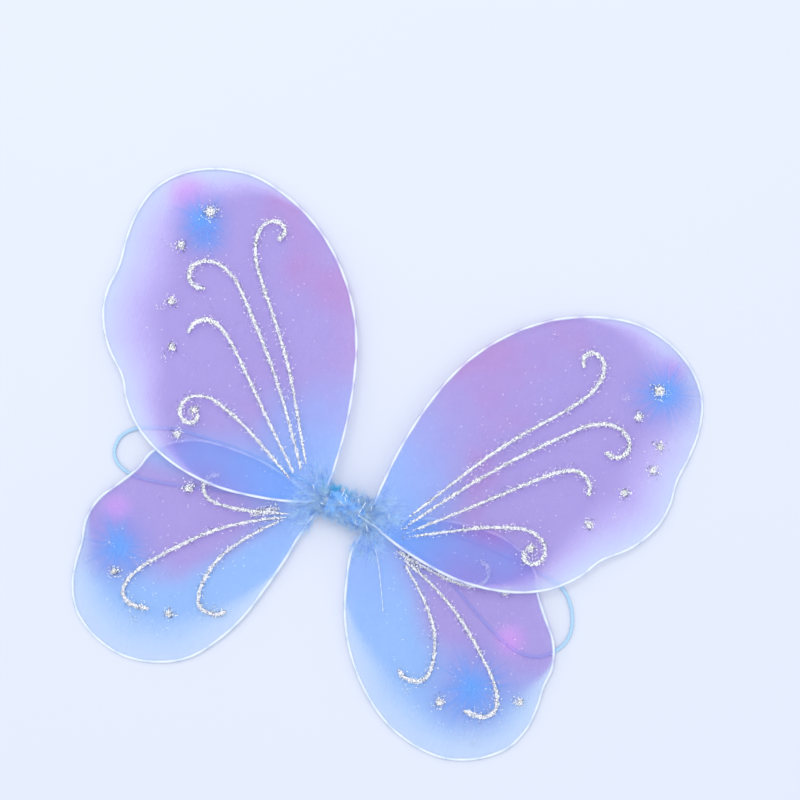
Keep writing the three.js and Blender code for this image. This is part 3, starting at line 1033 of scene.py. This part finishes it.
# Marabou: plumes of down on the bar and over the wings' roots. Every barb is a thin tapering
# spine that curls as it goes.
fluffLook = {
    "barbs": 24,          # to a plume
    "rings": 5,
    "barPlumes": 315,
    "barBarb": 4.6,       # length of a barb
    "rootPlumes": {"upper": 96, "lower": 60},
    "rootBarb": 8.0,
    "hairs": 46,
    "thickness": 0.075,
    "light": (0.64, 0.85, 1.0),
    "middle": (0.48, 0.72, 1.0),
    "depthShade": (0.14, 0.35, 0.86),
    "cyan": (0.03, 0.60, 0.93),
    "cyanPlace": (-11, 11.5),
    "lowest": 0.4,        # over the surface under the wings
}


def fluffFinish():
    finish = Finish("marabouDown", Specular_IOR_Level=0.1)
    tint = finish.attribute("tint")
    patch = finish.noise(finish.objectPlace(), 110, 2) - 0.5
    # Barbs are painted darker at their bases, a painted shade deep in the down, and paler towards their
    # tips; tint and patches vary at random.
    shade = finish.attribute("spread") * 0.4 + tint * 0.5 + patch * 0.9
    stops = [(0.05, fluffLook["depthShade"]), (0.4, fluffLook["middle"]), (0.9, fluffLook["light"])]
    colour = finish.ramp(shade, *stops)
    colour = finish.mix(colour, fluffLook["cyan"], finish.attribute("cyan"))
    return finish.set(Base_Color=colour, Roughness=0.85 + 0.1 * tint)


# Every barb at once: starts, headings, lengths and thicknesses, one row each. Three corners to a ring.
def barbShape(starts, headings, lengths, thick, curl, random):
    count, rings = len(starts), fluffLook["rings"]
    headings = unit(headings)
    bend = random.normal(0, curl, (count, 3))
    bend -= np.sum(bend * headings, axis=1)[:, None] * headings
    share = np.linspace(0, 1, rings)[None, :, None]
    run = headings[:, None] * share + bend[:, None] * share**2
    line = starts[:, None] + lengths[:, None, None] * run
    ahead = unit(headings[:, None] + 2 * bend[:, None] * share)
    first = unit(np.cross(ahead, random.normal(0, 1, (count, 1, 3))))
    second = np.cross(ahead, first)
    taper = thick[:, None, None] * (1 - 0.8 * share)
    corners = []
    for i in range(3):
        angle = i * 2 * math.pi / 3
        corners.append(line + (first * math.cos(angle) + second * math.sin(angle)) * taper)
    return np.stack(corners, axis=2)


def addFluff(name, body, barbs, tints, random, material):
    points = barbShape(*barbs, random)
    points[..., 2] = np.maximum(points[..., 2], fluffLook["lowest"] + 0.02 * points[..., 2])
    starts = barbs[0]
    count, rings = len(starts), fluffLook["rings"]
    faces = []
    for barb in range(count):
        start = barb * rings * 3
        faces.append((start + 2, start + 1, start))
        faces += wallFaces(rings, 3, start)
        tip = start + (rings - 1) * 3
        faces.append((tip, tip + 1, tip + 2))
    fluff = addPiece(name, points.reshape(-1, 3) * mm, faces, material)
    # spread runs from 0 at a barb's base to 1 at its tip, and sets the painted shade deep in the down.
    addAttribute(fluff, "spread", np.tile(np.repeat(np.linspace(0, 1, rings), 3), count))
    addAttribute(fluff, "tint", np.repeat(tints, rings * 3))
    cyanX, cyanY = fluffLook["cyanPlace"]
    cyan = np.exp(-(((starts[:, 0] - cyanX) / 10) ** 2) - ((starts[:, 1] - cyanY) / 5) ** 2)
    addAttribute(fluff, "cyan", np.repeat(cyan, rings * 3))
    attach(fluff, body)
    return fluff


# Plumes: barbs that leave a quill to both sides, in rows.
def plumes(roots, quills, barbLength, random):
    count, barbs = len(roots), fluffLook["barbs"]
    share = random.uniform(0.05, 1, (count, barbs, 1))
    starts = roots[:, None] + quills[:, None] * share
    ahead = unit(quills)
    across = unit(np.cross(ahead, random.normal(0, 1, (count, 3))))
    sides = np.where(random.uniform(0, 1, (count, barbs, 1)) < 0.5, -1, 1)
    splay = sides * random.uniform(0.3, 1.1, (count, barbs, 1))
    headings = ahead[:, None] * 0.9 + across[:, None] * splay
    headings = headings + random.normal(0, 0.22, (count, barbs, 3))
    lengths = barbLength * random.uniform(0.5, 1.2, (count, barbs))
    return starts.reshape(-1, 3), headings.reshape(-1, 3), lengths.ravel()


# One tint to a plume, with a little change from barb to barb.
def plumeTints(count, random):
    tints = np.repeat(random.uniform(0, 1, count), fluffLook["barbs"])
    return tints + random.normal(0, 0.15, len(tints))


def addBarFluff(material):
    random = np.random.default_rng(7)
    count = fluffLook["barPlumes"]
    x = random.uniform(-22, 22, count)
    around = random.uniform(-1.9, 1.9, count)
    roots = np.column_stack([x, 9.6 * np.sin(around), 10.5 + 9 * np.cos(around)])
    radial = np.column_stack([0.03 * x, np.sin(around), np.cos(around) * 0.3])
    quills = radial * random.uniform(0.5, 3, (count, 1))
    quills = quills + random.normal(0, 2.8, (count, 3)) * (1.7, 0.9, 0.25)
    starts, headings, lengths = plumes(roots, quills, fluffLook["barBarb"], random)
    headings[:, 2] *= 0.45
    thick = fluffLook["thickness"] * random.uniform(0.6, 1.4, len(starts))
    tints = plumeTints(count, random)
    barbs = (starts, headings, lengths, thick, 0.3)
    fluff = addFluff("marabou_bar_down", "centre_bar", barbs, tints, random, material)
    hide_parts("feather_trim")


# Single long hairs that stand out past the rest.
def addHairs(material):
    random = np.random.default_rng(19)
    count = fluffLook["hairs"]
    way = np.where(random.uniform(0, 1, count) < 0.7, -1, 1)
    starts = np.column_stack([random.uniform(-20, 20, count), way * 6 - 1, random.uniform(7, 15, count)])
    headings = np.column_stack([random.normal(0, 0.35, count), way, random.normal(-0.3, 0.15, count)])
    lengths = random.uniform(8, 24, count)
    thick = np.full(count, fluffLook["thickness"])
    tints = random.uniform(0, 0.6, count)
    barbs = (starts, headings, lengths, thick, 0.3)
    addFluff("marabou_hairs", "centre_bar", barbs, tints, random, material)


# Down that lies out over the root of each wing and moves with it.
def addRootFluff(wing, material):
    random = np.random.default_rng(wing["seed"] + 100)
    upper = wing["kind"] == "upper"
    count = fluffLook["rootPlumes"][wing["kind"]]
    first, last = (-0.95, 1.4) if upper else (0.035 * wing["press"] - 1.5, 0.2)
    sweep = random.uniform(first, last, count)
    reach = 22 * random.uniform(0, 1, count) ** 1.1
    outward = np.column_stack([wing["side"] * np.cos(sweep), np.sin(sweep), np.zeros(count)])
    roots = outward * reach[:, None] - (wing["side"], 0, 0)
    roots[:, 2] = random.uniform(1.2, 2.8, count)
    quills = outward * random.uniform(3, 11, (count, 1)) + random.normal(0, 1.3, (count, 3)) * (1, 1, 0.2)
    starts, headings, lengths = plumes(roots, quills, fluffLook["rootBarb"], random)
    headings[:, 2] *= 0.2
    thick = fluffLook["thickness"] * random.uniform(0.45, 1.0, len(starts))
    matrix = np.array(wingMatrix(wing))
    starts = starts @ matrix[:3, :3].T + matrix[:3, 3]
    headings = headings @ matrix[:3, :3].T
    tints = plumeTints(count, random) * 0.8 + 0.15
    barbs = (starts, headings, lengths, thick, 0.14)
    down = addFluff(wing["name"] + "_root_down", wing["name"] + "_wing", barbs, tints, random, material)
    down.visible_shadow = False  # a haze too thin to shade the nylon


# Tinsel: flat bright strips caught in the down. Each is a body and the places it passes.
tinselLook = {"halfWidth": 0.3, "halfThick": 0.05, "short": 16, "barEnd": 17}
tinselStrips = [
    ("centre_bar", [(13, 11, 19.5), (12, 5, 21), (11, -1, 21.5)]),
    ("right_upper_wing", [(11, -1, 21.5), (21, -3.5, 20.5), (33, -6, 18.2)]),
    ("right_upper_wing", [(34, 9, 18), (34.5, 4.5, 18.2)]),
    ("right_lower_wing", [(34, -22, 12), (41, -33, 9.8), (50, -50, 8.6), (58, -66, 7.8)]),
]


def tinselFinish():
    finish = Finish("tinsel", Specular_IOR_Level=0.9, Coat_Weight=0.5)
    crinkle = finish.noise(finish.objectPlace(), 700, 2)
    colour = finish.ramp(crinkle, (0.3, (0.62, 0.80, 0.96)), (0.6, (0.97, 0.99, 1.0)))
    return finish.set(
        Base_Color=colour, Metallic=0.3 * crinkle, Roughness=0.12 + 0.2 * crinkle,
        Normal=finish.bump(crinkle, 0.0001, 0.4),
    )


def addTinsel(material):
    random = np.random.default_rng(5)
    strips = list(tinselStrips)
    for _ in range(tinselLook["short"]):
        start = Vector((random.uniform(-32, 32), random.uniform(-9, 9), random.uniform(17.5, 20)))
        turn = random.uniform(0, 2 * math.pi)
        run = Vector((math.cos(turn), math.sin(turn), random.uniform(-0.1, 0.1))) * random.uniform(3, 8)
        body = "centre_bar"
        if abs(start.x) > tinselLook["barEnd"]:
            body = "left_upper_wing" if start.x < 0 else "right_upper_wing"
        strips.append((body, [start, start + run * 0.5 + Vector((0, 0, 0.5)), start + run]))
    for number, (body, places) in enumerate(strips, 1):
        path = smoothPath(places, 1.2)
        width = tinselLook["halfWidth"] * (0.7 + 0.3 * np.sin(np.arange(len(path)) * 1.1))
        points, faces = tubeShape(path, width, tinselLook["halfThick"], 6)
        strip = addPiece(f"tinsel_{number}", points * mm, faces, material)
        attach(strip, body)


down = fluffFinish()
addBarFluff(down)
addHairs(down)
for wing in wings:
    addRootFluff(wing, down)
addTinsel(tinselFinish())
print("marabou fluffed out")


# Floor and light.
studioLook = {
    "floor": (0.665, 0.69, 0.77),
    "floorMottle": (0.675, 0.70, 0.775),
    "floorSize": 12,
    "sky": (0.87, 0.92, 1.0),
    "skyStrength": 1.0,
    "lampEnergy": 51,
    "lampSize": 2.4,
    "lampPlace": (-0.7, 1.0, 3.3),
}


def addStudio():
    finish = Finish("paleFloor", Specular_IOR_Level=0.1)
    grain = finish.noise(finish.objectPlace(), 3, 2)
    colour = finish.mix(studioLook["floor"], studioLook["floorMottle"], grain)
    bpy.ops.mesh.primitive_plane_add(size=studioLook["floorSize"], location=(0, 0, -0.00005))
    floor = bpy.context.object
    floor.name = "floor"
    floor.data.materials.append(finish.set(Base_Color=colour, Roughness=0.9))
    world = bpy.data.worlds.new("studio")
    world.use_nodes = True
    sky = world.node_tree.nodes["Background"]
    sky.inputs["Color"].default_value = (*studioLook["sky"], 1)
    sky.inputs["Strength"].default_value = studioLook["skyStrength"]
    bpy.context.scene.world = world
    place = Vector(studioLook["lampPlace"])
    aim = (Vector((0, 0.05, 0)) - place).to_track_quat("-Z", "Y").to_euler()
    bpy.ops.object.light_add(type="AREA", location=place, rotation=aim)
    lamp = bpy.context.object.data
    lamp.energy = studioLook["lampEnergy"]
    lamp.size = studioLook["lampSize"]
    lamp.color = (1, 0.985, 0.97)
    bpy.context.scene.view_settings.view_transform = "Standard"


addStudio()
print("studio set")
